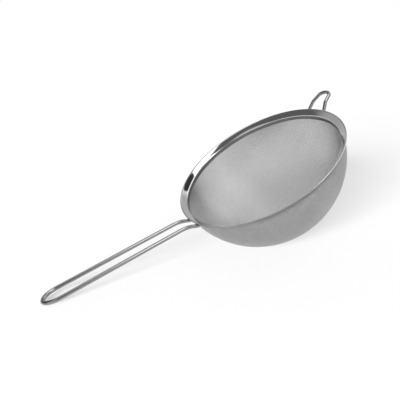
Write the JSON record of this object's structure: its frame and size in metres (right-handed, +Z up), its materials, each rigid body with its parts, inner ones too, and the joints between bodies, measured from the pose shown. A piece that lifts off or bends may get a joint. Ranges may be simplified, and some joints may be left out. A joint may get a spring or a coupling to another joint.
{
  "type": "mesh sieve",
  "caption": "Hand-held kitchen sieve: a deep round bowl of woven steel wire in a flanged rim, with a long hairpin wire handle and a small wire rest hook opposite it.",
  "frame": {"origin": "on the floor, under the middle of the whole sieve, as it lies on its bowl and its handle's tip", "axes": "+Z up from the floor, +X from the handle's tip towards the rest hook, +Y across the rim"},
  "size_m": [0.3514, 0.2, 0.1647],
  "materials": {
    "polished_steel": "polished stainless steel sheet",
    "drawn_wire": "polished round stainless steel wire",
    "cloth_wire": "fine stainless steel wire, plain weave"
  },
  "bodies": {
    "root": {"rim_flange": "polished_steel", "handle_wire": "drawn_wire", "rest_hook": "drawn_wire", "warp_wire_01": "cloth_wire", "warp_wire_02": "cloth_wire", "warp_wire_03": "cloth_wire", "warp_wire_04": "cloth_wire", "warp_wire_05": "cloth_wire", "warp_wire_06": "cloth_wire", "warp_wire_07": "cloth_wire", "warp_wire_08": "cloth_wire", "warp_wire_09": "cloth_wire", "warp_wire_10": "cloth_wire", "warp_wire_11": "cloth_wire", "warp_wire_12": "cloth_wire", "warp_wire_13": "cloth_wire", "warp_wire_14": "cloth_wire", "warp_wire_15": "cloth_wire", "warp_wire_16": "cloth_wire", "warp_wire_17": "cloth_wire", "warp_wire_18": "cloth_wire", "warp_wire_19": "cloth_wire", "warp_wire_20": "cloth_wire", "warp_wire_21": "cloth_wire", "warp_wire_22": "cloth_wire", "warp_wire_23": "cloth_wire", "warp_wire_24": "cloth_wire", "warp_wire_25": "cloth_wire", "weft_wire_01": "cloth_wire", "weft_wire_02": "cloth_wire", "weft_wire_03": "cloth_wire", "weft_wire_04": "cloth_wire", "weft_wire_05": "cloth_wire", "weft_wire_06": "cloth_wire", "weft_wire_07": "cloth_wire", "weft_wire_08": "cloth_wire", "weft_wire_09": "cloth_wire", "weft_wire_10": "cloth_wire", "weft_wire_11": "cloth_wire", "weft_wire_12": "cloth_wire", "weft_wire_13": "cloth_wire", "weft_wire_14": "cloth_wire", "weft_wire_15": "cloth_wire", "weft_wire_16": "cloth_wire", "weft_wire_17": "cloth_wire", "weft_wire_18": "cloth_wire", "weft_wire_19": "cloth_wire", "weft_wire_20": "cloth_wire", "weft_wire_21": "cloth_wire", "weft_wire_22": "cloth_wire", "weft_wire_23": "cloth_wire", "weft_wire_24": "cloth_wire", "weft_wire_25": "cloth_wire"}
  },
  "joints": []
}
